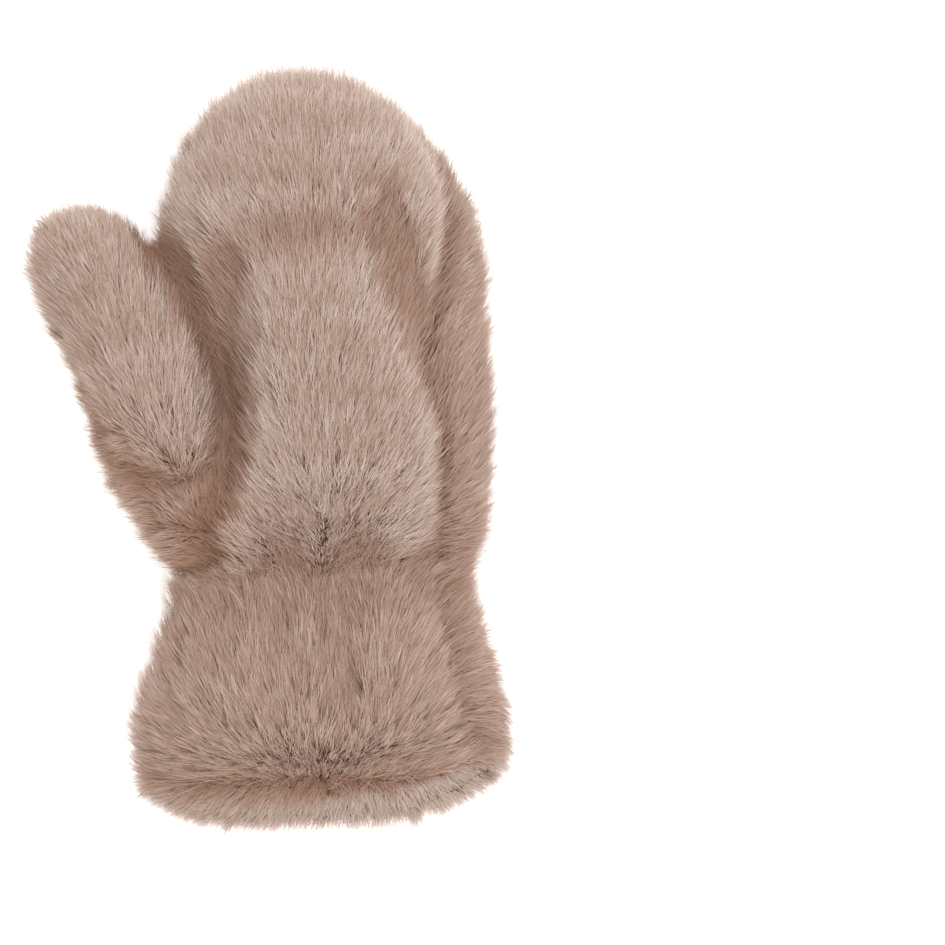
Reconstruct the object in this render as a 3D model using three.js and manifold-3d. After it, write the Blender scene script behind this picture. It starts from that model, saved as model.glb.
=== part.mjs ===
// A plush fur mitten lying palm up: six sewn panels of deep-pile fur and a turned lower hem,
// round a hollow for the hand with a branch for the thumb.
// Millimetres, +Z up. Fingers point to +Y, the thumb to -X, the palm faces +Z, and the back
// lies flat on the surface at z = 0.
import * as THREE from "three";
import Module from "manifold-3d";

// Hand part, from the drawn-in wrist to the fingertips
const handLength = 183;
const handWidth = 116;
const handThickness = 61;
const fingertipRound = 74;
const fingertipEase = 1.25;
const fingertipFullness = 0.8;
const fingertipAside = -6.4;
const fingertipHeight = 22;
const edgeShare = 0.42;
const palmSquareness = 2.3;
const backSquareness = 2.7;

// Wrist, flared cuff and turned hem
const wristWidth = 107;
const wristThickness = 43;
const cuffLength = 86;
const cuffWidth = 132;
const cuffThickness = 53;
const cuffLean = 4.5;
const hemLean = 2;
const leanReach = 60;
const hemHeight = 14;
const hemBow = 14;
const hemBowPower = 4;
const hemBowLimit = 1.1;
const hemDip = 2.6;
const hemDipReach = 5.6;
const hemDipOnBack = 0.3;

// Thumb, a tube set into the side of the hand
const thumbLength = 134;
const thumbWidth = 51;
const thumbThickness = 41;
const thumbSplay = 22.7;
const thumbInset = 25;
const thumbUp = 12;
const thumbRound = 25;
const thumbEase = 1.35;
const thumbFullness = 0.9;

// Walls: lining, backing and pile together
const wall = 12.5;
const thumbWall = 9.5;
const mouthThinning = 0.3;
const mouthReach = 22.5;
const deepestWall = 0.8;

// Pile, as overlapping locks that point to the fingertips
const lockLength = 18;
const lockWidth = 10.5;
const lockRelief = 3;
const lockOverlap = 5;
const hemLockShare = 0.6;

// Locks fade out between these distances from a seam, the wrist, the surface and the tips
const seamFade = [2, 8];
const wristFade = [3, 12];
const surfaceFade = [2, 9];
const fingertipFade = [6, 26];
const thumbTipFade = [5, 20];

// Seams
const sideSeamRoll = 15;
const thumbSeamHeight = 34;
const thumbSeamPitch = 20;
const thumbSeamRoll = 8;
const seamDip = 2.6;
const seamReach = 7;
const seamGap = 0.3;
const seamClear = 2.5;

// Elastic gathers at the wrist
const gatherCount = 14;
const gatherDepth = 1.3;
const gatherReach = 15;

// How far the soft underside is pressed flat against the surface
const pressedDepth = 2.5;

// A fold is deepest within the first share of its reach and gone at the second. Towards the
// side seams it fades out between two shares of the palm's height.
const foldFade = [0.15, 1.35];
const foldEdge = [0.1, 0.75];

// Fineness of the surfaces, and the facets that are merged away
const ringPoints = 96;
const ringStep = 3;
const hollowStep = 15;
const thumbHollowStep = 14;
const thumbRoomStep = 6;
const bendStep = 0.03;
const tipGap = 0.5;
const regionFacets = [12, 9, 1];
const smallestDetail = 0.05;

// Taupe fur, a little darker where the panels turn away from the palm
const furRoughness = 0.95;
const furColours = {
  palm_panel: 0xb39b8d,
  back_panel: 0xa68e80,
  thumb_front: 0xb0988a,
  thumb_back: 0x9c8476,
  cuff_front: 0xa58c7e,
  cuff_back: 0xa38b7d,
  hem_band: 0xae9487,
};

// Cuff sections. at: share of the cuff's length from the lower edge to the wrist.
// left, right and top: 0 at the wrist's size, 1 at the cuff's. seam: height of the side
// seams over the middle, as a share of the section's height.
const cuffSections = [
  { at: 0.0, left: 0.8, right: 1.15, top: 0.3, seam: 0.38 },
  { at: 0.17, left: 0.84, right: 1.13, top: 0.25, seam: 0.4 },
  { at: 0.35, left: 0.84, right: 0.93, top: 1.0, seam: 0.52 },
  { at: 0.5, left: 0.76, right: 0.68, top: 1.0, seam: 0.52 },
  { at: 0.62, left: 0.58, right: 0.46, top: 0.9, seam: 0.52 },
  { at: 0.75, left: 0.28, right: 0.24, top: 0.55, seam: 0.52 },
  { at: 0.9, left: 0.03, right: 0.04, top: 0.13, seam: 0.52 },
  { at: 1.0, left: 0.0, right: 0.0, top: 0.0, seam: 0.54 },
];

// Hand sections. at: share of the way from the wrist to the round of the fingertips.
// left, right and top: 0 at the wrist's size, 1 at the hand's. seam: as in the cuff.
const handSections = [
  { at: 0.0, left: 0.0, right: 0.0, top: 0.0, seam: 0.54 },
  { at: 0.08, left: 0.3, right: 0.9, top: 0.28, seam: 0.57 },
  { at: 0.2, left: 0.55, right: 1.2, top: 0.66, seam: 0.59 },
  { at: 0.34, left: 0.7, right: 1.4, top: 0.92, seam: 0.6 },
  { at: 0.54, left: 0.85, right: 1.6, top: 1.0, seam: 0.61 },
  { at: 0.74, left: 0.95, right: 1.4, top: 0.93, seam: 0.62 },
  { at: 0.87, left: 1.05, right: 1.15, top: 0.82, seam: 0.6 },
  { at: 1.0, left: 1.1, right: 1.0, top: 0.76, seam: 0.58 },
];

// Thumb sections. at: share of the thumb's length from its root. aside: bend of the axis
// towards the hand, as a share of that length. wide and thick: shares of the thumb's width
// and thickness. height: the axis over the surface, as a share of the hand's thickness.
const thumbSections = [
  { at: 0.0, aside: 0.0, wide: 0.84, thick: 0.88, height: 0.4 },
  { at: 0.13, aside: -0.015, wide: 0.86, thick: 0.94, height: 0.49 },
  { at: 0.27, aside: -0.02, wide: 0.94, thick: 1.0, height: 0.55 },
  { at: 0.4, aside: -0.022, wide: 0.98, thick: 1.0, height: 0.57 },
  { at: 0.52, aside: -0.014, wide: 1.0, thick: 1.0, height: 0.54 },
  { at: 0.64, aside: -0.02, wide: 0.97, thick: 0.98, height: 0.48 },
  { at: 0.76, aside: -0.038, wide: 0.95, thick: 0.96, height: 0.41 },
  { at: 0.88, aside: -0.046, wide: 0.93, thick: 0.93, height: 0.34 },
  { at: 1.0, aside: -0.015, wide: 0.9, thick: 0.9, height: 0.3 },
];

// Dents and pads of the palm side, each along a line of points. x: share of half the hand's
// width from the middle. y: share of the hand's length over the wrist, or of the cuff's under
// it. reach and depth: shares of half the hand's width and of its thickness; a pad is negative.
const folds = [
  { fold: "thumb bed", x: -0.92, y: 0.58, reach: 0.3, depth: 0.24 },
  { fold: "thumb bed", x: -0.68, y: 0.36, reach: 0.28, depth: 0.26 },
  { fold: "thumb bed", x: -0.62, y: 0.2, reach: 0.23, depth: 0.18 },
  { fold: "thumb valley", x: -0.52, y: 0.61, reach: 0.13, depth: 0.12 },
  { fold: "thumb valley", x: -0.45, y: 0.35, reach: 0.15, depth: 0.15 },
  { fold: "thumb valley", x: -0.42, y: 0.19, reach: 0.12, depth: 0.08 },
  { fold: "palm pad", x: 0.0, y: 0.5, reach: 0.42, depth: -0.045 },
  { fold: "palm pad", x: 0.07, y: 0.22, reach: 0.42, depth: -0.045 },
  { fold: "outer valley", x: 0.43, y: 0.69, reach: 0.17, depth: 0.09 },
  { fold: "outer valley", x: 0.52, y: 0.56, reach: 0.16, depth: 0.11 },
  { fold: "outer valley", x: 0.74, y: 0.38, reach: 0.14, depth: 0.09 },
  { fold: "palm crease", x: -0.45, y: 0.63, reach: 0.16, depth: 0.05 },
  { fold: "palm crease", x: 0.38, y: 0.65, reach: 0.16, depth: 0.05 },
  { fold: "wrist pucker", x: -0.14, y: 0.03, reach: 0.1, depth: 0.035 },
  { fold: "wrist pucker", x: -0.1, y: 0.12, reach: 0.1, depth: 0.03 },
  { fold: "heel pucker", x: 0.17, y: 0.03, reach: 0.09, depth: 0.03 },
  { fold: "heel pucker", x: 0.22, y: 0.1, reach: 0.09, depth: 0.025 },
  { fold: "long cuff fold", x: 0.12, y: -0.06, reach: 0.11, depth: 0.08 },
  { fold: "long cuff fold", x: 0.16, y: -0.6, reach: 0.11, depth: 0.07 },
  { fold: "short cuff fold", x: -0.26, y: -0.08, reach: 0.1, depth: 0.05 },
  { fold: "short cuff fold", x: -0.24, y: -0.32, reach: 0.1, depth: 0.04 },
  { fold: "thumb side fold", x: -0.57, y: -0.08, reach: 0.1, depth: 0.04 },
  { fold: "thumb side fold", x: -0.62, y: -0.32, reach: 0.1, depth: 0.03 },
];

// Turned hem, from inside the mouth round the lower edge. at: share of the hem's height.
// inset: share of the wall. ridge: share of a lock's relief on every other column.
const hemSections = [
  { at: 0.35, inset: 1.3, ridge: 0 },
  { at: 0.1, inset: 0.85, ridge: 0 },
  { at: 0.0, inset: 0.45, ridge: 0 },
  { at: 0.12, inset: 0.12, ridge: 0.6 },
  { at: 0.42, inset: 0.0, ridge: 1.0 },
  { at: 0.8, inset: 0.03, ridge: 0.4 },
];

// One row of locks. at: share of the row's length. ridge and valley: height over the smooth
// form as a share of the relief. ridgeAhead and valleyAhead: shift as a share of the overlap.
const lockSections = [
  { at: 0.09, ridge: -0.3, valley: -0.3, ridgeAhead: -1, valleyAhead: -1 },
  { at: 0.52, ridge: 0.4, valley: 0.0, ridgeAhead: 0, valleyAhead: 0 },
  { at: 1.0, ridge: 1.0, valley: 0.1, ridgeAhead: 1, valleyAhead: -0.4 },
];

const { clamp, degToRad, lerp, smoothstep } = THREE.MathUtils;
const halfHand = handWidth / 2;
const wristUp = cuffLength;
const fingertipUp = cuffLength + handLength;
const roundUp = fingertipUp - fingertipRound;
const roundArc = fingertipRound * fingertipEase;
const bodyArc = roundUp + roundArc;

const wasm = await Module();
wasm.setup();

// A column's value at a share, on a smooth curve through a table's rows.
function valueAt(table, share, column) {
  const last = table.length - 1;
  let row = 0;
  while (row < last - 1 && table[row + 1].at < share) row += 1;
  const [a, b] = [table[row], table[row + 1]];
  const span = b.at - a.at;
  const slope = (i) => {
    const [low, high] = [table[Math.max(i - 1, 0)], table[Math.min(i + 1, last)]];
    return ((high[column] - low[column]) / (high.at - low.at)) * span;
  };
  const t = clamp((share - a.at) / span, 0, 1);
  const [t2, t3] = [t * t, t * t * t];
  const ends = (2 * t3 - 3 * t2 + 1) * a[column] + (3 * t2 - 2 * t3) * b[column];
  return ends + (t3 - 2 * t2 + t) * slope(row) + (t3 - t2) * slope(row + 1);
}

// Half widths and height of the hand and cuff at a distance up the straight mitten.
function sectionAt(up) {
  const inCuff = up < wristUp;
  const table = inCuff ? cuffSections : handSections;
  const share = clamp(inCuff ? up / cuffLength : (up - wristUp) / (roundUp - wristUp), 0, 1);
  const wide = (inCuff ? cuffWidth : handWidth) / 2;
  const thick = inCuff ? cuffThickness : handThickness;
  return {
    left: lerp(wristWidth / 2, wide, valueAt(table, share, "left")),
    right: lerp(wristWidth / 2, wide, valueAt(table, share, "right")),
    top: lerp(wristThickness, thick, valueAt(table, share, "top")),
    seam: valueAt(table, share, "seam"),
  };
}

// Height up the mitten at a distance along its outer form, and how far the round of the
// fingertips has shrunk the section and carried it to the tip.
function profileAt(distance) {
  const turned = clamp((distance - roundUp) / roundArc, 0, 1) * (Math.PI / 2);
  const [c, s] = [Math.cos(turned), Math.sin(turned)];
  const up = distance < roundUp ? distance : roundUp + fingertipRound * s;
  const wide = Math.max(c, 0);
  return { up, wide, thick: wide ** fingertipFullness, rise: s * s };
}

// Height of the side seams at a place; they run down to the middle of the fingertips.
function seamHeight(x, up) {
  const section = sectionAt(Math.min(up, roundUp));
  const rolled = Math.tan(degToRad(sideSeamRoll)) * x;
  const rise = clamp((up - roundUp) / fingertipRound, 0, 1);
  return lerp(section.top * section.seam + rolled, fingertipHeight, rise);
}

// Depth of all the folds at a place on the palm side.
const foldPoint = ({ x, y }) =>
  new THREE.Vector3(x * halfHand, wristUp + y * (y < 0 ? cuffLength : handLength), 0);
const foldLines = Object.values(Object.groupBy(folds, (row) => row.fold)).map((rows) =>
  rows.slice(1).map((end, i) => ({
    line: new THREE.Line3(foldPoint(rows[i]), foldPoint(end)),
    start: rows[i],
    end,
  })),
);
function foldDepth(x, up) {
  const place = new THREE.Vector3(x, up, 0);
  let total = 0;
  for (const parts of foldLines) {
    const depths = parts.map(({ line, start, end }) => {
      const share = line.closestPointToPointParameter(place, true);
      const distance = line.at(share, new THREE.Vector3()).distanceTo(place);
      const reach = lerp(start.reach, end.reach, share) * halfHand;
      const depth = lerp(start.depth, end.depth, share) * handThickness;
      return depth * (1 - smoothstep(distance / reach, ...foldFade));
    });
    total += depths.reduce((a, b) => (Math.abs(a) > Math.abs(b) ? a : b));
  }
  return total;
}

// The straight mitten's place in the real one: the cuff leans and its lower edge is bowed.
function settle(point) {
  const inHem = smoothstep(point.y, 0, hemHeight);
  const overWrist = smoothstep(point.y, wristUp, wristUp + leanReach);
  const angle = lerp(hemLean, cuffLean, inHem) * (1 - overWrist);
  const out = Math.min(Math.abs(point.x) / (cuffWidth / 2), hemBowLimit);
  const bow = hemBow * out ** hemBowPower * (1 - clamp(point.y / cuffLength, 0, 1));
  point.y += Math.tan(degToRad(angle)) * point.x + bow;
  return point;
}

// A point of the smooth outer form. turn runs from the outer edge over the palm and round.
function bodyPoint(distance, turn) {
  const { up, wide, thick, rise } = profileAt(distance);
  const section = sectionAt(Math.min(up, roundUp));
  const [c, s] = [Math.cos(turn), Math.sin(turn)];
  const power = 2 / (s > 0 ? palmSquareness : backSquareness);
  const edge = edgeShare * section.top;
  const side = Math.sign(c) * Math.abs(c) ** power;
  const bulge = Math.sign(s) * Math.abs(s) ** power;
  const half = (c > 0 ? section.right : section.left) * wide;
  const depth = (s > 0 ? section.top - edge : edge + pressedDepth) * thick;
  const x = half * side + fingertipAside * rise;
  const z = lerp(edge, fingertipHeight, rise) + depth * bulge;
  const atWrist = Math.exp(-(((up - wristUp) / gatherReach) ** 2));
  const atSeam = Math.exp(-(((z - seamHeight(x, up)) / seamReach) ** 2));
  const atHem = Math.exp(-(((up - hemHeight) / hemDipReach) ** 2));
  const gather = gatherDepth * atWrist * Math.cos(turn * gatherCount);
  const hem = hemDip * atHem * lerp(hemDipOnBack, 1, Math.max(bulge, 0));
  const dip = (gather + seamDip * atSeam + hem) * wide;
  const fold = s > 0 ? foldDepth(x, up) * smoothstep(bulge, ...foldEdge) * thick : 0;
  return new THREE.Vector3(x - dip * side, up, Math.max(z - dip * bulge - fold, 0));
}

// Evenly spaced points round a closed line, none of them under the surface.
function evenly(points, columns) {
  const curve = new THREE.CatmullRomCurve3(points, true);
  const even = curve.getSpacedPoints(columns).slice(0, columns);
  for (const point of even) point.z = Math.max(point.z, 0);
  return even;
}

const turns = Array.from({ length: ringPoints }, (_, i) => (2 * Math.PI * i) / ringPoints);
function bodyRing(distance, columns) {
  const straight = turns.map((turn) => bodyPoint(distance, turn));
  return evenly(straight, columns).map(settle);
}

// The thumb's axis and its section planes.
const splay = degToRad(thumbSplay);
const thumbAhead = new THREE.Vector3(-Math.sin(splay), Math.cos(splay), 0);
const thumbAside = new THREE.Vector3(Math.cos(splay), Math.sin(splay), 0);
const thumbRoot = new THREE.Vector3(thumbInset - halfHand, wristUp + thumbUp, 0);
function thumbCentre(share) {
  const centre = thumbRoot.clone().addScaledVector(thumbAhead, share * thumbLength);
  centre.addScaledVector(thumbAside, thumbLength * valueAt(thumbSections, share, "aside"));
  return centre.setZ(handThickness * valueAt(thumbSections, share, "height"));
}

// Height of the thumb's seam at a place: a plane that climbs towards the root.
const thumbMiddle = thumbCentre(0.5);
function thumbSeam(point) {
  const from = point.clone().sub(thumbMiddle);
  const pitched = Math.tan(degToRad(thumbSeamPitch)) * from.dot(thumbAhead);
  return thumbSeamHeight - pitched - Math.tan(degToRad(thumbSeamRoll)) * from.dot(thumbAside);
}

// Points round the smooth thumb at a distance along it, moved outwards by a margin.
const thumbArc = thumbLength - thumbRound + thumbRound * thumbEase;
function thumbRing(distance, columns, margin = 0) {
  const start = thumbLength - thumbRound;
  const turned = clamp((distance - start) / (thumbArc - start), 0, 1) * (Math.PI / 2);
  const reached = distance < start ? distance : start + thumbRound * Math.sin(turned);
  const share = reached / thumbLength;
  const centre = thumbCentre(share);
  const [low, high] = [Math.max(share - bendStep, 0), Math.min(share + bendStep, 1)];
  const ahead = thumbCentre(high).sub(thumbCentre(low));
  const side = new THREE.Vector3(ahead.y, -ahead.x, 0).normalize();
  const over = side.clone().cross(ahead).normalize();
  const shrink = Math.max(Math.cos(turned), 0) ** thumbFullness;
  const wide = (thumbWidth / 2) * valueAt(thumbSections, share, "wide") * shrink;
  const thick = (thumbThickness / 2) * valueAt(thumbSections, share, "thick") * shrink;
  const ring = turns.map((turn) => {
    const point = centre.clone().addScaledVector(side, wide * Math.cos(turn));
    point.addScaledVector(over, thick * Math.sin(turn));
    const dip = seamDip * shrink * Math.exp(-(((point.z - thumbSeam(point)) / seamReach) ** 2));
    return point.addScaledVector(point.clone().sub(centre).normalize(), margin - dip);
  });
  return evenly(ring, columns);
}

// A smooth form kept as a grid of rings, with its points and outward normals.
function formOf(ringAt, length, columns) {
  const count = Math.ceil(length / ringStep);
  const rings = Array.from({ length: count + 1 }, (_, i) =>
    ringAt(Math.min(i * ringStep, length - tipGap), columns),
  );
  const pointAt = (distance, column) => {
    const place = clamp(distance / ringStep, 0, count);
    const low = Math.min(Math.floor(place), count - 1);
    const c = (column + columns) % columns;
    return rings[low][c].clone().lerp(rings[low + 1][c], place - low);
  };
  const normalAt = (distance, column) => {
    const ahead = pointAt(distance + ringStep, column).sub(pointAt(distance - ringStep, column));
    const around = pointAt(distance, column + 1).sub(pointAt(distance, column - 1));
    return ahead.cross(around).normalize();
  };
  const samples = [];
  for (let i = 1; i < count; i += 1)
    for (let c = 0; c < columns; c += 1)
      samples.push({ point: rings[i][c], normal: normalAt(i * ringStep, c) });
  return { columns, pointAt, normalAt, samples };
}

// How far a point stands outside a smooth form; negative inside it.
function clearance(point, form) {
  let nearest = form.samples[0];
  for (const sample of form.samples)
    if (sample.point.distanceToSquared(point) < nearest.point.distanceToSquared(point))
      nearest = sample;
  return point.clone().sub(nearest.point).dot(nearest.normal);
}

// An even count of columns, so that ridges and valleys take turns all the way round.
function columnsRound(ring) {
  const girth = ring.reduce((sum, point, i) => sum + point.distanceTo(ring.at(i - 1)), 0);
  return 2 * Math.round(girth / lockWidth);
}
const bodyColumns = columnsRound(bodyRing(wristUp + handLength / 2, ringPoints));
const thumbColumns = columnsRound(thumbRing(thumbLength / 2, ringPoints));
const bodyForm = formOf(bodyRing, bodyArc, bodyColumns);
const thumbForm = formOf(thumbRing, thumbArc, thumbColumns);

// Rows of overlapping locks over a form. strength tells how far they stand out at a place.
function lockRings(form, from, to, strength) {
  const rows = Math.round((to - from) / lockLength);
  const rings = [];
  for (let row = 0; row < rows; row += 1) {
    const [low, high] = [lerp(from, to, row / rows), lerp(from, to, (row + 1) / rows)];
    for (const lock of lockSections) {
      const distance = lerp(low, high, lock.at);
      rings.push(
        Array.from({ length: form.columns }, (_, column) => {
          const ridge = (column + row) % 2 === 0;
          const force = strength(form.pointAt(distance, column), distance);
          const ahead = lockOverlap * force * (ridge ? lock.ridgeAhead : lock.valleyAhead);
          const height = lockRelief * force * (ridge ? lock.ridge : lock.valley);
          const point = form.pointAt(distance + ahead, column);
          point.addScaledVector(form.normalAt(distance + ahead, column), height);
          return point.setZ(Math.max(point.z, 0));
        }),
      );
    }
  }
  return rings;
}

const overSurface = (point) => smoothstep(point.z, ...surfaceFade);
function bodyLocks(point, distance) {
  const { up } = profileAt(distance);
  const offSeam = smoothstep(Math.abs(point.z - seamHeight(point.x, up)), ...seamFade);
  const offWrist = smoothstep(Math.abs(up - wristUp), ...wristFade);
  const offHem = smoothstep(up - hemHeight, ...seamFade);
  const offTip = smoothstep(bodyArc - distance, ...fingertipFade);
  const offThumb = smoothstep(clearance(point, thumbForm), ...seamFade);
  return overSurface(point) * offSeam * offWrist * offHem * offTip * offThumb;
}
function thumbLocks(point, distance) {
  const offSeam = smoothstep(Math.abs(point.z - thumbSeam(point)), ...seamFade);
  const offTip = smoothstep(thumbArc - distance, ...thumbTipFade);
  const offHand = smoothstep(clearance(point, bodyForm), ...seamFade);
  return overSurface(point) * offSeam * offTip * offHand;
}

// A ring drawn in towards the middle line of the hollow.
function drawnIn(ring, depth, reachUp = fingertipUp) {
  const heights = ring.map((point) => point.z);
  const middle = (Math.max(...heights) + Math.min(...heights)) / 2;
  const flat = halfHand - handThickness / 2;
  return ring.map((point) => {
    const target = new THREE.Vector3(clamp(point.x, -flat, flat), 0, middle);
    target.y = Math.min(point.y, reachUp);
    const inward = target.sub(point);
    return point.clone().addScaledVector(inward, Math.min(depth / inward.length(), deepestWall));
  });
}

// A closed solid through rings of equal count, fanned shut at both ends.
function loft(rings) {
  const columns = rings[0].length;
  const centre = (ring) =>
    ring.reduce((sum, point) => sum.add(point), new THREE.Vector3()).divideScalar(columns);
  const points = [...rings.flat(), centre(rings[0]), centre(rings.at(-1))];
  const [first, last] = [points.length - 2, points.length - 1];
  const faces = [];
  const top = (rings.length - 1) * columns;
  for (let c = 0; c < columns; c += 1) {
    const d = (c + 1) % columns;
    faces.push(first, c, d, last, top + d, top + c);
    for (let row = 0; row < top; row += columns) {
      const [a, b, e, f] = [row + c, row + d, row + columns + c, row + columns + d];
      faces.push(a, e, f, a, f, b);
    }
  }
  const vertProperties = new Float32Array(points.flatMap((point) => point.toArray()));
  const mesh = new wasm.Mesh({ numProp: 3, vertProperties, triVerts: new Uint32Array(faces) });
  return new wasm.Manifold(mesh);
}

// The hand and cuff in one, solid, with the turned hem at its lower edge.
const hemRings = hemSections.map((hem) => {
  const ring = drawnIn(bodyRing(hem.at * hemHeight, bodyForm.columns), hem.inset * wall);
  return ring.map((point, column) => {
    const force = column % 2 === 0 ? hem.ridge * overSurface(point) : 0;
    const out = new THREE.Vector3(point.x, 0, point.z - edgeShare * cuffThickness).normalize();
    point.addScaledVector(out, hemLockShare * lockRelief * force);
    point.y -= lockRelief * force;
    return point.setZ(Math.max(point.z, 0));
  });
});
const body = loft([
  ...hemRings,
  ...lockRings(bodyForm, hemHeight + seamClear, wristUp - seamClear, bodyLocks),
  ...lockRings(bodyForm, wristUp + seamClear, bodyArc - seamClear, bodyLocks),
]);

// The hollow for the hand, open at the hem, and its branch for the thumb.
const hollowRings = [];
for (let up = -2 * hollowStep; up < bodyArc - hollowStep / 2; up += hollowStep) {
  const thinned = mouthThinning * (1 - smoothstep(up, 0, mouthReach));
  const ring = bodyRing(up, bodyForm.columns / 2);
  hollowRings.push(drawnIn(ring, wall * (1 - thinned), fingertipUp - handThickness / 2));
}
const hollow = loft(hollowRings);
const thumbHollowRings = [];
for (let along = seamClear; along < thumbArc - thumbWall; along += thumbHollowStep)
  thumbHollowRings.push(thumbRing(along, thumbForm.columns / 2, -thumbWall));
const thumbHollow = loft(thumbHollowRings);

// A region of the hand and cuff between two heights up it, over or under the side seams.
function region(from, to, side) {
  const box = new THREE.BoxGeometry(2, 2, 2, ...regionFacets);
  const reach = 2 * handWidth;
  const position = box.getAttribute("position");
  const point = new THREE.Vector3();
  for (let i = 0; i < position.count; i += 1) {
    point.fromBufferAttribute(position, i);
    const x = point.x * handWidth;
    const up = lerp(from, to, (point.y + 1) / 2);
    const seam = seamHeight(x, up) + (side * seamGap) / 2;
    const far = side > 0 ? point.z > 0 : point.z < 0;
    point.set(x, up, side === 0 ? point.z * reach : far ? side * reach : seam);
    settle(point);
    position.setXYZ(i, point.x, point.y, point.z);
  }
  return solidOf(box);
}

// A closed geometry as a solid for joins and cuts.
function solidOf(geometry) {
  const welded = new Map();
  const position = geometry.getAttribute("position");
  const points = [];
  const corner = Array.from({ length: position.count }, (_, i) => {
    const xyz = [position.getX(i), position.getY(i), position.getZ(i)];
    const key = xyz.map((value) => value.toFixed(3)).join(" ");
    if (!welded.has(key)) {
      welded.set(key, welded.size);
      points.push(...xyz);
    }
    return welded.get(key);
  });
  const triVerts = Uint32Array.from(geometry.index.array, (i) => corner[i]);
  const vertProperties = new Float32Array(points);
  return new wasm.Manifold(new wasm.Mesh({ numProp: 3, vertProperties, triVerts }));
}

// Everything over or under the thumb's seam.
function thumbHalf(side) {
  const size = 2 * fingertipUp;
  const box = new THREE.BoxGeometry(size, size, size);
  box.translate(0, 0, side * (size / 2 + seamGap / 2));
  const normal = new THREE.Vector3();
  normal.addScaledVector(thumbAhead, Math.tan(degToRad(thumbSeamPitch)));
  normal.addScaledVector(thumbAside, Math.tan(degToRad(thumbSeamRoll)));
  normal.z = 1;
  box.applyQuaternion(
    new THREE.Quaternion().setFromUnitVectors(new THREE.Vector3(0, 0, 1), normal.normalize()),
  );
  box.translate(thumbMiddle.x, thumbMiddle.y, thumbSeamHeight);
  return solidOf(box);
}

const shell = body.subtract(hollow);
const thumbRoom = [];
for (let along = -seamGap; along < thumbArc; along += thumbRoomStep)
  thumbRoom.push(thumbRing(Math.max(along, 0), thumbForm.columns, 3 * seamGap));
const thumb = loft(lockRings(thumbForm, 0, thumbArc - seamClear / 2, thumbLocks));
const thumbTube = thumb.subtract(thumbHollow).subtract(hollow);
const rest = shell.subtract(loft(thumbRoom));

const half = seamGap / 2;
const pieces = {
  palm_panel: rest.intersect(region(wristUp + half, fingertipUp + cuffLength, 1)),
  back_panel: rest.intersect(region(wristUp + half, fingertipUp + cuffLength, -1)),
  thumb_front: thumbTube.intersect(thumbHalf(1)),
  thumb_back: thumbTube.intersect(thumbHalf(-1)),
  cuff_front: rest.intersect(region(hemHeight + half, wristUp - half, 1)),
  cuff_back: rest.intersect(region(hemHeight + half, wristUp - half, -1)),
  hem_band: rest.intersect(region(-cuffLength, hemHeight - half, 0)),
};

const group = new THREE.Group();
for (const [name, piece] of Object.entries(pieces)) {
  const bodies = piece.decompose();
  const largest = bodies.reduce((a, b) => (a.volume() > b.volume() ? a : b));
  const solid = largest.simplify(smallestDetail);
  const { vertProperties, triVerts, numProp } = solid.getMesh();
  const geometry = new THREE.BufferGeometry();
  geometry.setAttribute("position", new THREE.BufferAttribute(vertProperties, numProp));
  geometry.setIndex(new THREE.BufferAttribute(triVerts, 1));
  geometry.computeVertexNormals();
  const colour = { color: furColours[name], roughness: furRoughness };
  const mesh = new THREE.Mesh(geometry, new THREE.MeshStandardMaterial(colour));
  mesh.name = name;
  group.add(mesh);
}
const bounds = new THREE.Box3().setFromObject(group);
const middle = bounds.getCenter(new THREE.Vector3());
group.position.set(-middle.x, -middle.y, 0);
export default group;
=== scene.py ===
import math

import bmesh
import bpy
import numpy as np
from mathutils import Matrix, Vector, kdtree
from mathutils.bvhtree import BVHTree


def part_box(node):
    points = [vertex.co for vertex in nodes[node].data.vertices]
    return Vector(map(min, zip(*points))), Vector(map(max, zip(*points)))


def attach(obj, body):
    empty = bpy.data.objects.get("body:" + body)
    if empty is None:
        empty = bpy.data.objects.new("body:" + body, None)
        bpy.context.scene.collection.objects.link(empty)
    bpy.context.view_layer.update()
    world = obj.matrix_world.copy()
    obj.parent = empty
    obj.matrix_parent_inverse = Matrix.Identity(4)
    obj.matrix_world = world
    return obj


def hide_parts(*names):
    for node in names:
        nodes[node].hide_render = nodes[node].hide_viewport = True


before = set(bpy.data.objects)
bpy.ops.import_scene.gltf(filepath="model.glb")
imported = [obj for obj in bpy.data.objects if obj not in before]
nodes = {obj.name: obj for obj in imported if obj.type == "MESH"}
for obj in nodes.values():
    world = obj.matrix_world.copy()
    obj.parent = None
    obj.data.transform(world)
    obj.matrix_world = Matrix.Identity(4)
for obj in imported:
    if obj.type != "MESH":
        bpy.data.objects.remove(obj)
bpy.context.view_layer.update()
scene = bpy.context.scene
panel_names = sorted(nodes)


# Backing and lining: the knitted ground of all the sewn panels as one soft skin, with the
# pile's roots on its outside and a short brushed lining inside. The panels are sewn pile side
# in, turned out through the mouth, and the seams pull the skin into shallow grooves.
welded = 1e-6
seam_gap = 0.0003
weave_step = 0.002
soften_share = 0.5
soften_steps = 10
look_ways = 9
look_start = 0.0008
look_reach = 0.4
look_facing = -0.3
outside_rounds = 4
half_outside = 0.5
pile_height = 0.0052
hollow_rounds = 60
even_bulge = 0.0006
hollow_depth = 0.0014
most_bulge = -0.4
bridged_depth = 0.001
bridged_share = 0.6
ground_brown = (0.15, 0.082, 0.055, 1)
lining_dark = (0.20, 0.135, 0.105, 1)
lining_light = (0.36, 0.265, 0.22, 1)
nap_scale = 900
nap_height = 0.0008


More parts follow.
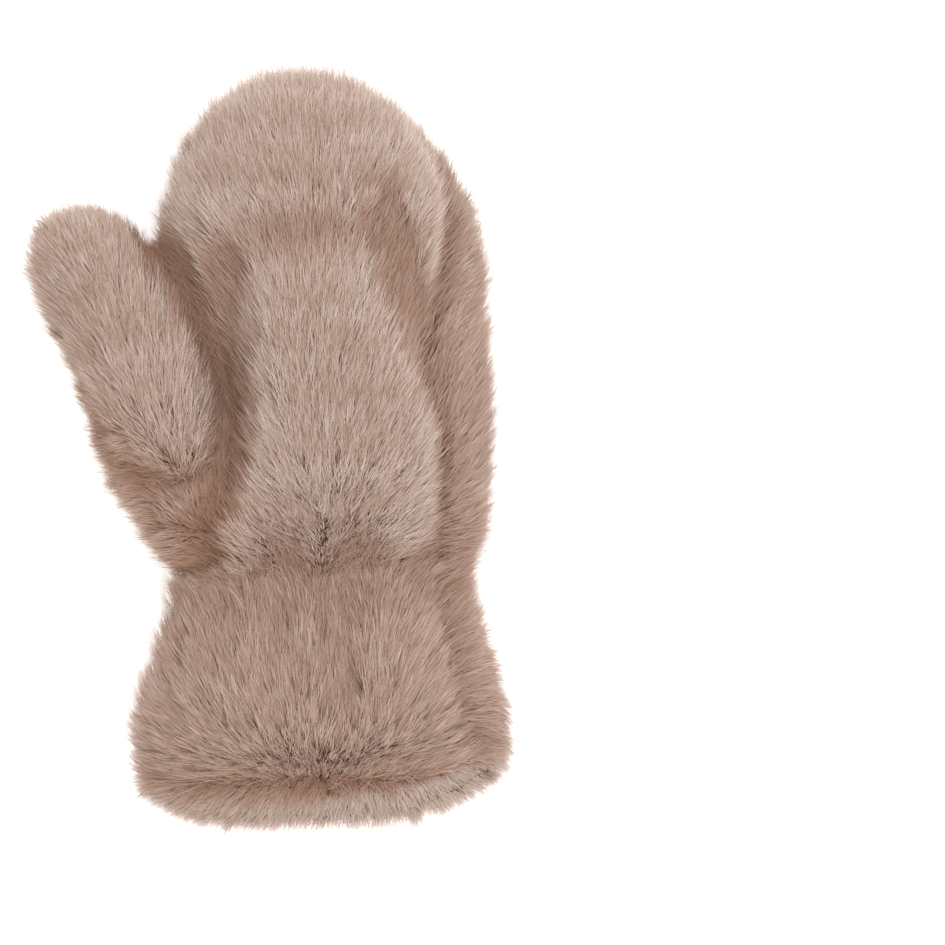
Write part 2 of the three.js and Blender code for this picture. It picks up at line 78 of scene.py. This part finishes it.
class Socket:
    """An output of a finish's nodes; its operators add Math nodes."""

    def __init__(self, finish, output):
        self.finish = finish
        self.output = output

    def maths(self, operation, first, second):
        return self.finish.node("Math", {"operation": operation}, {0: first, 1: second})

    def __add__(self, other):
        return self.maths("ADD", self, other)

    def __mul__(self, other):
        return self.maths("MULTIPLY", self, other)

    __radd__ = __add__
    __rmul__ = __mul__


class Finish:
    """A material whose nodes are added one call at a time."""

    def __init__(self, name):
        self.material = bpy.data.materials.new(name)
        self.material.use_nodes = True
        self.tree = self.material.node_tree
        self.shader = self.tree.nodes["Principled BSDF"]

    def join(self, socket, value):
        if isinstance(value, Socket):
            self.tree.links.new(value.output, socket)
        else:
            socket.default_value = value

    def node(self, kind, settings, sockets, output=0):
        made = self.tree.nodes.new("ShaderNode" + kind)
        for name, value in settings.items():
            setattr(made, name, value)
        for name, value in sockets.items():
            self.join(made.inputs[name], value)
        return Socket(self, made.outputs[output])

    def blend(self, share, first, second):
        return self.node("Mix", {"data_type": "RGBA"}, {0: share, 6: first, 7: second}, 2)

    def wear(self, sockets):
        for name, value in sockets.items():
            self.join(self.shader.inputs[name], value)
        return self.material


def sewn_together():
    """All the panels' solids in one mesh, fattened until neighbours meet at the seams."""
    shell = bmesh.new()
    for name in panel_names:
        shell.from_mesh(nodes[name].data)
    bmesh.ops.remove_doubles(shell, verts=shell.verts, dist=welded)
    shell.normal_update()
    for vert in shell.verts:
        vert.co += seam_gap * vert.normal
    mesh = bpy.data.meshes.new("sewn_panels")
    shell.to_mesh(mesh)
    shell.free()
    return mesh


def tree_of(mesh):
    """A mesh's faces, sorted for finding the nearest point and for casting rays."""
    return BVHTree.FromPolygons(
        [v.co for v in mesh.vertices], [list(f.vertices) for f in mesh.polygons]
    )


def applied(piece):
    """The piece's mesh with its modifiers in it."""
    bpy.context.view_layer.update()
    graph = bpy.context.evaluated_depsgraph_get()
    mesh = bpy.data.meshes.new_from_object(piece.evaluated_get(graph))
    piece.modifiers.clear()
    piece.data = mesh
    return mesh


def values_of(items, name, width, kind=np.float32):
    """One property of all of a mesh's points, loops or faces as rows of an array."""
    values = np.empty(len(items) * width, kind)
    items.foreach_get(name, values)
    return values.reshape(-1, width) if width > 1 else values


backing = bpy.data.objects.new("backing", sewn_together())
scene.collection.objects.link(backing)
weave = backing.modifiers.new("weave", "REMESH")
weave.mode = "VOXEL"
weave.voxel_size = weave_step
soften = backing.modifiers.new("soften", "SMOOTH")
soften.factor = soften_share
soften.iterations = soften_steps
skin = applied(backing)
for face in skin.polygons:
    face.use_smooth = True

# A point is on the outside if it sees past the mitten in some direction square to its length,
# so that no look leaves through the open mouth.
skin_tree = tree_of(skin)
turns = np.linspace(0, 2 * math.pi, look_ways, endpoint=False)
looks = [Vector((math.cos(turn), 0, math.sin(turn))) for turn in turns]


def sees_out(vert):
    """Whether one of the looks from a point of the skin meets nothing."""
    start = vert.co + look_start * vert.normal
    return any(
        look.dot(vert.normal) > look_facing
        and skin_tree.ray_cast(start, look, look_reach)[0] is None
        for look in looks
    )


def spread_out(values, rounds):
    """Values of the skin's points, each averaged with its neighbours' a number of times."""
    edges = values_of(skin.edges, "vertices", 2, np.int32)
    here, there = np.concatenate([edges, edges[:, ::-1]]).T
    count = 1 + np.bincount(here, minlength=len(values))
    for _ in range(rounds):
        total = values.copy()
        np.add.at(total, here, values[there])
        values = (total.T / count).T
    return values


seen_out = np.array([sees_out(vert) for vert in skin.vertices], float)
outside = spread_out(seen_out, outside_rounds)

# Each point of the skin belongs to the nearest panel, and the next nearest one tells how far
# the seam is. Towards a seam the skin is pulled in by some metres, or out below 0, and the
# pile stands up, is trimmed shorter, is sheared off and is darkened with painted shade, from 0
# not at all to 1 fully. Only the second panel of a pair is sheared, as the first one's pile
# lies over it. A seam's numbers are in the order of the effects, and each effect has its own
# reach.
seam_effects = ("pull", "stand", "trim", "shear", "shade")
seam_reach = (0.003, 0.0055, 0.006, 0.0042, 0.007)
seams = {
    ("palm_panel", "back_panel"): (0.004, 0, 0.4, 0.9, 0),
    ("cuff_front", "cuff_back"): (0.004, 0.1, 0.35, 0.9, 0),
    ("cuff_front", "palm_panel"): (0, 0.2, 0.3, 0, 0),
    ("hem_band", "cuff_front"): (-0.001, 0.4, 0, 0, 0),
    ("hem_band", "cuff_back"): (-0.001, 0.4, 0, 0, 0),
    # The thumb's seams paint shade into the pile along the thumb's sides and in the valley beside
    # the palm.
    ("thumb_front", "thumb_back"): (0.0015, 0.5, 0.2, 0.2, 0.35),
    ("thumb_front", "palm_panel"): (0.006, 0, 0.4, 0.4, 0.75),
    ("thumb_back", "palm_panel"): (0.006, 0, 0.4, 0.4, 0.75),
}
panel_trees = [tree_of(nodes[name].data) for name in panel_names]
panel_distance = np.array(
    [[tree.find_nearest(v.co)[3] for tree in panel_trees] for v in skin.vertices]
)
nearest, neighbour = np.argsort(panel_distance, axis=1)[:, :2].T
to_seam = np.take_along_axis(panel_distance, neighbour[:, None], axis=1)[:, 0]
at_seam = {name: np.zeros(len(nearest)) for name in seam_effects}
for pair, seam in seams.items():
    over, under = (panel_names.index(name) for name in pair)
    beneath = (nearest == under) & (neighbour == over)
    here = beneath | (nearest == over) & (neighbour == under)
    for name, value in zip(seam_effects, seam):
        at_seam[name][beneath if name == "shear" else here] = value
for name, reach in zip(seam_effects, seam_reach):
    at_seam[name] *= np.exp(-((to_seam / reach) ** 2))

# The roots lie one pile height inside the outer form.
skin_normals = values_of(skin.vertices, "normal", 3).astype(float)
skin_points = values_of(skin.vertices, "co", 3).astype(float)
skin_points -= skin_normals * ((pile_height + at_seam["pull"]) * outside)[:, None]

# How deep each point lies in a hollow of the form, or below 0 how far it bulges out. The skin
# bridges the deep hollows a little. In the end the depth is a share, 0 where the form bulges
# evenly and 1 in a full hollow, which paints shade into the pile's tone in the hollows and
# light onto the bulges.
hollow = np.sum((spread_out(skin_points, hollow_rounds) - skin_points) * skin_normals, axis=1)
bridged = bridged_share * np.maximum(hollow - bridged_depth, 0) * outside
skin_points += skin_normals * bridged[:, None]
skin.vertices.foreach_set("co", skin_points.ravel().astype(np.float32))
hollow = np.clip((hollow + even_bulge) / hollow_depth, most_bulge, 1)

ground = Finish("knitted_ground")
ground.wear({"Base Color": ground_brown, "Roughness": 0.95, "Specular IOR Level": 0.1})
lining = Finish("brushed_lining")
place = lining.node("TexCoord", {}, {}, "Object")
nap = lining.node("TexNoise", {}, {"Vector": place, "Scale": nap_scale, "Detail": 3}, "Fac")
lining.wear(
    {
        "Base Color": lining.blend(nap, lining_dark, lining_light),
        "Roughness": 0.95,
        "Sheen Weight": 0.3,
        "Normal": lining.node("Bump", {}, {"Height": nap, "Distance": nap_height, "Strength": 0.8}),
    }
)
for finish in (ground, lining):
    skin.materials.append(finish.material)
skin.calc_loop_triangles()
skin_corners = values_of(skin.loop_triangles, "vertices", 3, np.int32)
skin_panel = nearest[skin_corners[:, 0]]
inner = values_of(skin.loop_triangles, "polygon_index", 1, np.int32)
inner = inner[outside[skin_corners].mean(axis=1) < half_outside]
which = np.zeros(len(skin.polygons), np.int32)
which[inner] = 1
skin.polygons.foreach_set("material_index", which)
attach(backing, "root")
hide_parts(*panel_names)


# Hand: the palm and back panels, knitted deep pile of two lengths, a dense underfur and longer,
# sparser guard hairs, that lies towards the fingertips and fans out to both sides. The two
# panels are sewn round the edge, where the pile parts and rolls over to the back.
hand_length = 0.0121
hand_pull = 0.14
hand_lock = 0.0014
# The tones are painted light and shade: the palm, facing up, is lighter than the back panel, and
# each is darker in its hollows.
palm_light_and_shade = (0.67, 0.06)
back_light_and_shade = (0.36, 0.1)

# A layer's length is a share of the pile's, its density is hairs to the square metre, and its
# mix is how far the tones of its hairs stray.
layers = {
    "guard_hair": {"length": 1.0, "width": 0.00017, "density": 1e6, "steps": 3, "mix": 0.34},
    "underfur": {"length": 0.8, "width": 0.00017, "density": 3.2e6, "steps": 2, "mix": 0.2},
}

# The underside, where the skin faces the floor, gets fewer hairs, and pile that stands up at a
# seam gets more.
underside_share = 0.36
underside_facing = (-0.35, 0.1)
seam_crowd = 0.8

# Hairs leave the skin steeply and bend over to lie on it, with angles in degrees, and their
# tips sag. Most are about as long as their lock, and a few are much longer.
hair_rise = 64
hair_lie = 14
stand_lie = 22
hair_droop = -0.12
hair_sag = 0.3
least_reach = 0.7
usual_reach = 0.36
long_reach = 0.65
long_power = 8
tip_taper = 0.65
floor_clear = 0.0001
tiny = 1e-9

# How far locks stray from the comb and hairs from their lock, as standard deviations, with
# leans and bends in radians. A pair is the least and the most of a factor.
lock_strays = {"lean": 0.12, "bend": 0.14, "tone": 0.06}
lock_factors = {"length": (0.82, 1.18), "rise": (0.75, 1.2)}
hair_strays = {"lean": 0.18, "bend": 0.15}
hair_factors = {"rise": (0.85, 1.15), "pull": (0.4, 1.6), "width": (0.8, 1.25)}
standing_stray = 6
pull_power = 1.3
tone_limits = (-0.4, 1.4)

# Where the comb turns by many degrees from one place to the next, the pile parts: its hairs
# cross, stand up, curl, and show their dark lower halves, and painted shade darkens their tone.
parting_turn = (45, 75)
parting_band = (0.4, 0.6)
parting_mix = 0.0042
parted_lean = (0.2, 0.8)
parting_shade = 0.75
parting_curl = 0.8
parting_trim = 0.25

# Hairs are flat, so they are turned to be seen from above, and they are narrower at the
# outline. Their shading follows the skin, with each lock a little rounded.
turn_facing = (-0.4, 0.3)
turn_up = 0.7
most_twist = 0.5
lock_roundness = 0.1
hair_tilt = 0.1
outline_width = 0.75
outline_facing = (-0.1, 0.6)

# A hair is dark at its root and gets lighter towards its tip. With its tone, from 0 to 1, and
# with soft clouds over the pile, the tip goes from brown to silvery. The tone also carries
# painted light and shade, so hairs on bulges are lighter and hairs in hollows, seams and
# partings darker.
fur_root = (0.270, 0.135, 0.082, 1)
fur_tip = (0.645, 0.485, 0.400, 1)
fur_silver = (0.705, 0.625, 0.575, 1)
cloud_scale = 55
cloud_share = 0.25
dull_light = 0.45
light_power = 0.8

# A comb's rows go up the panel's box, with the pile's lean in degrees from straight up at
# seven places spaced evenly from the thumb's side to the outer side.
palm_comb = [
    (0.00, (-36, -30, -16, -6, 0, 14, 40)),
    (0.07, (-46, -38, -24, -8, 2, 18, 48)),
    (0.18, (-30, -25, -30, -11, 7, 22, 36)),
    (0.30, (-10, -15, -27, -7, 6, 12, 30)),
    (0.41, (-10, -10, -17, -3, 9, 10, 26)),
    (0.52, (-10, -24, -17, 2, 12, 16, 34)),
    (0.64, (-34, -30, -21, -4, 13, 20, 34)),
    (0.75, (-28, -23, -19, -7, 8, 20, 30)),
    (0.87, (-22, -16, -14, -5, 9, 23, 30)),
    (1.00, (-20, -12, -7, -1, 9, 18, 27)),
]
back_comb = [
    (0.00, (-36, -20, -10, 0, 10, 60, 130)),
    (0.10, (-40, -20, -10, 0, 10, 50, 100)),
    (0.18, (-30, -18, -9, 0, 9, 30, 50)),
    (0.25, (-20, -15, -8, 0, 8, 20, 28)),
    (0.40, (-20, -15, -8, 0, 8, 20, 28)),
    (0.50, (-20, -15, -8, 0, 8, 25, 45)),
    (0.58, (-25, -15, -8, 0, 8, 30, 72)),
    (0.70, (-25, -15, -8, 0, 8, 35, 78)),
    (0.80, (-22, -14, -8, 0, 8, 25, 60)),
    (1.00, (-20, -12, -6, 0, 6, 14, 28)),
]


def smooth_between(low, high, value):
    """Rises smoothly from 0 to 1 as the value goes from low to high."""
    share = np.clip((value - low) / (high - low), 0, 1)
    return share * share * (3 - 2 * share)


def unit(vectors):
    """Vectors along an array's last axis, brought to a length of 1."""
    return vectors / np.maximum(np.linalg.norm(vectors, axis=-1, keepdims=True), tiny)


def find_roots(panel, density, random):
    """Roots of hairs over one panel, fewer on its underside, and what the skin is like there."""
    faces = np.flatnonzero(skin_panel == panel_names.index(panel))
    a, b, c = (skin_points[skin_corners[faces, i]] for i in range(3))
    facing = skin_normals[skin_corners[faces]].mean(axis=1)[:, 2]
    seen = underside_share + (1 - underside_share) * smooth_between(*underside_facing, facing)
    area = np.linalg.norm(np.cross(b - a, c - a), axis=1) / 2
    kept = outside * np.maximum(1 + seam_crowd * at_seam["stand"] - at_seam["shear"], 0)
    weight = area * seen * kept[skin_corners[faces]].mean(axis=1)
    chosen = random.choice(len(faces), int(density * weight.sum()), p=weight / weight.sum())
    u, v = random.random((2, len(chosen)))
    u, v = np.where(u + v > 1, 1 - u, u), np.where(u + v > 1, 1 - v, v)
    shares = np.stack([1 - u - v, u, v])
    corners = skin_corners[faces[chosen]]

    def read(values):
        return sum((shares[i] * values[corners[:, i]].T).T for i in range(3))

    return {
        "place": read(skin_points),
        "normal": unit(read(skin_normals)),
        "stand": read(at_seam["stand"]),
        "trim": read(at_seam["trim"]),
        "shade": read(at_seam["shade"]),
        "hollow": read(hollow),
    }


def turned(share, first, second):
    """A lean between two others, which the pile turns to gradually or, if far, parts at."""
    parts = smooth_between(*parting_turn, np.abs(second - first))
    share = share + parts * (smooth_between(*parting_band, share) - share)
    return first + (second - first) * share


def lean_at(comb, low, high, points):
    """The pile's lean at some points, read from the comb's rows over the panel's box."""
    heights = np.array([row[0] for row in comb])
    leans = np.array([row[1] for row in comb], float)
    across = np.clip((points[:, 0] - low[0]) / (high[0] - low[0]), 0, 1) * (leans.shape[1] - 1)
    along = np.clip((points[:, 1] - low[1]) / (high[1] - low[1]), 0, 1)
    left = np.minimum(across.astype(int), leans.shape[1] - 2)
    below = np.clip(np.searchsorted(heights, along) - 1, 0, len(heights) - 2)
    rise = (along - heights[below]) / (heights[below + 1] - heights[below])
    lower, upper = (
        turned(across - left, leans[row, left], leans[row, left + 1]) for row in (below, below + 1)
    )
    return np.radians(turned(rise, lower, upper))


def hair_paths(roots, lean, bend, length, rise, steps):
    """Points along each hair: it rises from its root and bends over to lie along the pile."""
    normals = roots["normal"]
    flow = np.stack([np.sin(lean), np.cos(lean), np.full(len(lean), hair_droop)], axis=1)
    ahead = unit(flow - normals * np.sum(flow * normals, axis=1, keepdims=True))
    over = np.cross(ahead, normals)
    lie = hair_lie + stand_lie * roots["stand"]
    points = [roots["place"]]
    for step in range(steps):
        share = (step + 0.5) / steps
        angle = np.radians(rise * (1 - share) + lie * share)[:, None]
        turn = (bend * share)[:, None]
        level = np.cos(turn) * ahead + np.sin(turn) * over
        level[:, 2] -= share * np.maximum(level[:, 2], 0)
        stride = np.cos(angle) * level + np.sin(angle) * normals
        stride[:, 2] -= hair_sag * share**2
        points.append(points[-1] + (length / steps)[:, None] * stride)
    return np.stack(points, axis=1), ahead, over


def ribbons(name, paths, width, face_to, shade, tone):
    """One mesh of flat tapered hairs, each with its normals, root-to-tip share and tone."""
    hairs, last = paths.shape[0], paths.shape[1] - 1
    per_hair = 2 * last + 1
    side = unit(np.cross(np.gradient(paths, axis=1), face_to[:, None, :]))
    taper = 1 - tip_taper * (np.arange(last) / last) ** 2
    half = side[:, :last] * (width[:, None] * taper / 2)[:, :, None]
    body = np.stack([paths[:, :last] - half, paths[:, :last] + half], axis=2)
    points = np.concatenate([body.reshape(hairs, 2 * last, 3), paths[:, last:]], axis=1)
    points[:, :, 2] = np.maximum(points[:, :, 2], floor_clear)
    quads = [[2 * i, 2 * i + 1, 2 * i + 3, 2 * i + 2] for i in range(last - 1)]
    corners = np.concatenate([*quads, [2 * last - 2, 2 * last - 1, 2 * last]])
    loops = (np.arange(hairs)[:, None] * per_hair + corners).ravel()
    sizes = np.tile([4] * (last - 1) + [3], hairs)
    mesh = bpy.data.meshes.new(name)
    mesh.vertices.add(hairs * per_hair)
    mesh.vertices.foreach_set("co", points.ravel().astype(np.float32))
    mesh.loops.add(len(loops))
    mesh.loops.foreach_set("vertex_index", loops.astype(np.int32))
    mesh.polygons.add(len(sizes))
    mesh.polygons.foreach_set("loop_start", (np.cumsum(sizes) - sizes).astype(np.int32))
    mesh.update(calc_edges=True)
    share = np.minimum(np.arange(per_hair) // 2, last) / last
    for label, values in (("along", np.tile(share, hairs)), ("tone", np.repeat(tone, per_hair))):
        layer = mesh.attributes.new(label, "FLOAT", "POINT")
        layer.data.foreach_set("value", values.astype(np.float32))
    mesh.normals_split_custom_set_from_vertices(
        np.repeat(shade, per_hair, axis=0).astype(np.float32)
    )
    return mesh


def grow(panel, comb, light_and_shade, length, pull, spacing, seed):
    """Both layers of one panel's pile, its hairs drawn together into soft locks.

    The first tone is the pile's where the form bulges evenly, and the second in its hollows;
    both are painted light and shade.
    """
    low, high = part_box(panel)
    for order, (layer, hair) in enumerate(layers.items()):
        random = np.random.default_rng([seed, order])
        steps = hair["steps"]
        roots = find_roots(panel, hair["density"], random)
        locks = find_roots(panel, 1 / spacing**2, random)
        count, lock_count = len(roots["place"]), len(locks["place"])
        tree = kdtree.KDTree(lock_count)
        for index, centre in enumerate(locks["place"]):
            tree.insert(centre, index)
        tree.balance()
        lock = np.array([tree.find(place)[1] for place in roots["place"]])
        lock_lean = lean_at(comb, low, high, locks["place"])
        lock_lean += random.normal(0, lock_strays["lean"], lock_count)
        lock_bend = random.normal(0, lock_strays["bend"], lock_count)
        lock_length = random.uniform(*lock_factors["length"], lock_count)
        lock_length *= length * hair["length"]
        lock_rise = hair_rise * random.uniform(*lock_factors["rise"], lock_count)
        lock_paths, _, _ = hair_paths(locks, lock_lean, lock_bend, lock_length, lock_rise, steps)

        flow = lean_at(comb, low, high, roots["place"])
        near = roots["place"] + random.normal(0, parting_mix, (count, 3))
        lean = lean_at(comb, low, high, near)
        parted = smooth_between(*parted_lean, np.abs(lean - flow))
        stray = hair_strays["lean"] * (1 + standing_stray * roots["stand"])
        roots["stand"] = np.maximum(roots["stand"], parted)
        roots["trim"] = np.maximum(roots["trim"], parting_trim * parted)
        lean += stray * random.normal(0, 1, count)
        stray = hair_strays["bend"] + parting_curl * parted
        bend = lock_bend[lock] + stray * random.normal(0, 1, count)
        chance = random.random(count)
        reach = least_reach + usual_reach * chance + long_reach * chance**long_power
        own_length = lock_length[lock] * reach * (1 - roots["trim"])
        rise = lock_rise[lock] * random.uniform(*hair_factors["rise"], count)
        paths, ahead, over = hair_paths(roots, lean, bend, own_length, rise, steps)
        drawn = pull * random.uniform(*hair_factors["pull"], count)[:, None]
        drawn = drawn * (np.arange(steps + 1) / steps) ** pull_power
        paths += drawn[:, :, None] * (lock_paths[lock] - paths)

        normals = roots["normal"]
        up = np.array([0, 0, 1]) * smooth_between(*turn_facing, normals[:, 2])[:, None]
        twist = over * random.uniform(-most_twist, most_twist, count)[:, None]
        face_to = unit(normals + turn_up * up + twist)
        aside = np.sum((roots["place"] - locks["place"][lock]) * over, axis=1) / spacing
        rounding = lock_roundness * over * np.clip(aside, -1, 1)[:, None]
        shade = unit(normals + rounding - hair_tilt * ahead)
        # Painted light and shade: the tone is lighter on bulges and darker in hollows, at seams
        # and, next, where the pile parts.
        tone = light_and_shade[0] + (light_and_shade[1] - light_and_shade[0]) * roots["hollow"] - roots["shade"]
        tone -= parting_shade * parted
        tone += random.normal(0, hair["mix"], count)
        tone += random.normal(0, lock_strays["tone"], lock_count)[lock]
        tone = np.clip(tone, *tone_limits)
        facing = smooth_between(*outline_facing, normals[:, 2])
        width = hair["width"] * (outline_width + (1 - outline_width) * facing) / reach
        width *= random.uniform(*hair_factors["width"], count)

        name = panel.replace("_panel", "").replace("_band", "")
        mesh = ribbons(name + "_" + layer, paths, width, face_to, shade, tone)
        mesh.materials.append(fur.material)
        piece = bpy.data.objects.new(mesh.name, mesh)
        scene.collection.objects.link(piece)
        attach(piece, "root")
        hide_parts(panel)


fur = Finish("deep_pile")
along = fur.node("Attribute", {"attribute_name": "along"}, {}, "Fac")
tone = fur.node("Attribute", {"attribute_name": "tone"}, {}, "Fac")
place = fur.node("TexCoord", {}, {}, "Object")
cloud = fur.node("TexNoise", {}, {"Vector": place, "Scale": cloud_scale, "Detail": 2}, "Fac")
pale = fur.blend(tone * (1 - cloud_share) + cloud * cloud_share, fur_tip, fur_silver)
light = fur.node("Math", {"operation": "POWER", "use_clamp": True}, {0: along, 1: light_power})
light = light * (dull_light + (1 - dull_light) * tone)
fur.wear(
    {
        "Base Color": fur.blend(light, fur_root, pale),
        "Roughness": 0.65,
        "Specular IOR Level": 0.14,
        "Sheen Weight": 0.05,
        "Sheen Roughness": 0.5,
    }
)
grow("palm_panel", palm_comb, palm_light_and_shade, hand_length, hand_pull, hand_lock, seed=11)
grow("back_panel", back_comb, back_light_and_shade, hand_length, hand_pull, hand_lock, seed=12)


# Thumb: a front and a back panel of the same pile, sewn round the tip and set into the side of
# the hand. The pile follows the thumb, and at its lower side it rolls outwards.
thumb_length = 0.0112
thumb_pull = 0.22
# The tones are painted light and shade: the back panel is darker than the front, and the front is
# much darker in its hollows.
thumb_front_light_and_shade = (0.54, 0.05)
thumb_back_light_and_shade = (0.27, 0.0)
tuft_pull = 0.5
tuft_lock = 0.0022
thumb_front_comb = [
    (0.00, (-112, -112, -110, -106, -95, -20, -4)),
    (0.12, (-112, -110, -108, -98, -22, -8, 2)),
    (0.28, (-110, -106, -96, -26, -14, -2, 6)),
    (0.39, (-100, -92, -34, -20, -12, 2, 8)),
    (0.48, (-62, -50, -32, -16, -8, 4, 10)),
    (0.60, (-50, -46, -28, -10, -1, 5, 8)),
    (0.70, (-50, -42, -22, -8, 0, 5, 5)),
    (0.80, (-48, -36, -18, -5, 0, 5, 5)),
    (0.90, (-40, -30, -14, -4, 0, 4, 5)),
    (1.00, (-30, -24, -12, -5, 0, 3, 5)),
]
thumb_back_comb = [
    (0.00, (-80, -80, -80, -78, -75, -60, -40)),
    (0.10, (-105, -105, -104, -100, -95, -30, -18)),
    (0.19, (-112, -112, -108, -104, -30, -14, -8)),
    (0.28, (-112, -112, -108, -98, -22, -12, -8)),
    (0.34, (-112, -110, -104, -75, -18, -10, -6)),
    (0.46, (-105, -100, -55, -25, -16, -10, -6)),
    (0.60, (-80, -65, -30, -20, -15, -10, -6)),
    (0.80, (-60, -40, -25, -18, -12, -8, -5)),
    (1.00, (-30, -22, -15, -10, -8, -5, 0)),
]
grow(
    "thumb_front", thumb_front_comb, thumb_front_light_and_shade, thumb_length, thumb_pull, hand_lock, seed=21
)
grow("thumb_back", thumb_back_comb, thumb_back_light_and_shade, thumb_length, tuft_pull, tuft_lock, seed=22)


# Cuff: two flared panels below the elastic at the wrist. Their pile fans out from the hem's
# seam, almost level at the corners, and its tips cover the elastic's gathers.
cuff_length = 0.0131
cuff_pull = 0.5
cuff_lock = 0.0023
# The tones are painted shade: the cuff is darker than the palm, and darker again in its hollows.
cuff_front_light_and_shade = (0.38, 0.2)
cuff_back_light_and_shade = (0.36, 0.15)
cuff_front_comb = [
    (0.00, (-108, -118, -135, -162, 160, 128, 108)),
    (0.05, (-104, -112, -130, -160, 158, 124, 104)),
    (0.09, (-78, -64, -42, -16, 12, 34, 58)),
    (0.25, (-65, -50, -28, -8, 13, 28, 50)),
    (0.42, (-45, -32, -18, -3, -8, 25, 50)),
    (0.60, (-34, -22, -7, -3, -12, 28, 60)),
    (0.80, (-30, -20, -3, -3, -12, 32, 70)),
    (1.00, (-30, -30, -18, -10, -6, 32, 70)),
]
cuff_back_comb = [
    (0.0, (-100, -60, -20, 0, 20, 100, 150)),
    (0.2, (-80, -50, -18, 0, 18, 90, 145)),
    (0.4, (-50, -30, -12, 0, 12, 70, 130)),
    (0.6, (-40, -25, -10, 0, 10, 60, 105)),
    (0.8, (-35, -20, -8, 0, 8, 50, 92)),
    (1.0, (-30, -20, -8, 0, 8, 60, 110)),
]
grow("cuff_front", cuff_front_comb, cuff_front_light_and_shade, cuff_length, cuff_pull, cuff_lock, seed=31)
grow("cuff_back", cuff_back_comb, cuff_back_light_and_shade, cuff_length, cuff_pull, cuff_lock, seed=32)


# Hem: the cuff's fur turned in at the mouth and stitched down, so that its pile points down
# and outwards and parts from the cuff's along the stitching.
hem_length = 0.0092
hem_pull = 0.3
# The tones are painted light: the hem's roll is lighter than every other panel, and its hollows are
# only a little darker.
hem_light_and_shade = (1.15, 0.9)
hem_comb = [
    (0.0, (-125, -140, -160, -172, -182, -195, -215)),
    (0.5, (-108, -118, -138, -162, -190, -220, -245)),
    (1.0, (-104, -115, -132, -160, -195, -228, -250)),
]
grow("hem_band", hem_comb, hem_light_and_shade, hem_length, hem_pull, cuff_lock, seed=41)


# Floor, light and camera: a plain white surface that the mitten lies on, seen from straight
# above, under a bright sky with a broad lamp overhead and a softbox beyond each end.
photo_pixels = 945
millimetre = 0.001
pixel = 0.3562 * millimetre
camera_height = 1.5
look_height = 0.028
camera_place = (0.0722, -0.0082)
sensor = 36
floor_size = 6
floor_colour = (0.92, 0.92, 0.92, 1)
floor_glow = 0.5
sky_light = 0.98
sky_colour = (1.0, 0.915, 0.85, 1)
lamp_colour = (0.94, 0.97, 1.0)
lamps = {
    "key": {"power": 4.9, "size": 0.65, "place": (0.2, 0.1, 0.95)},
    "upper_softbox": {"power": 3.2, "size": 0.8, "place": (0.0, 1.1, 0.55)},
    "lower_softbox": {"power": 5.0, "size": 0.8, "place": (0.1, -1.15, 0.55)},
}

floor_mesh = bmesh.new()
bmesh.ops.create_grid(floor_mesh, x_segments=2, y_segments=2, size=floor_size / 2)
floor_data = bpy.data.meshes.new("floor")
floor_mesh.to_mesh(floor_data)
floor_mesh.free()
floor = bpy.data.objects.new("floor", floor_data)
scene.collection.objects.link(floor)
paper = Finish("white_paper")
paper.wear(
    {
        "Base Color": floor_colour,
        "Roughness": 0.9,
        "Emission Color": floor_colour,
        "Emission Strength": floor_glow,
    }
)
floor_data.materials.append(paper.material)

scene.view_settings.view_transform = "Standard"
scene.world = bpy.data.worlds.new("sky")
scene.world.use_nodes = True
scene.world.node_tree.nodes["Background"].inputs["Color"].default_value = sky_colour
scene.world.node_tree.nodes["Background"].inputs["Strength"].default_value = sky_light

for name, lamp in lamps.items():
    lamp_data = bpy.data.lights.new(name, "AREA")
    lamp_data.energy = lamp["power"]
    lamp_data.size = lamp["size"]
    lamp_data.color = lamp_colour
    made = bpy.data.objects.new(name, lamp_data)
    made.location = lamp["place"]
    made.rotation_euler = (-Vector(lamp["place"])).to_track_quat("-Z", "Y").to_euler()
    scene.collection.objects.link(made)

camera_data = bpy.data.cameras.new("camera")
camera_data.sensor_width = sensor
camera_data.lens = sensor * (camera_height - look_height) / (photo_pixels * pixel)
camera = bpy.data.objects.new("camera", camera_data)
camera.location = (*camera_place, camera_height)
scene.collection.objects.link(camera)
scene.camera = camera
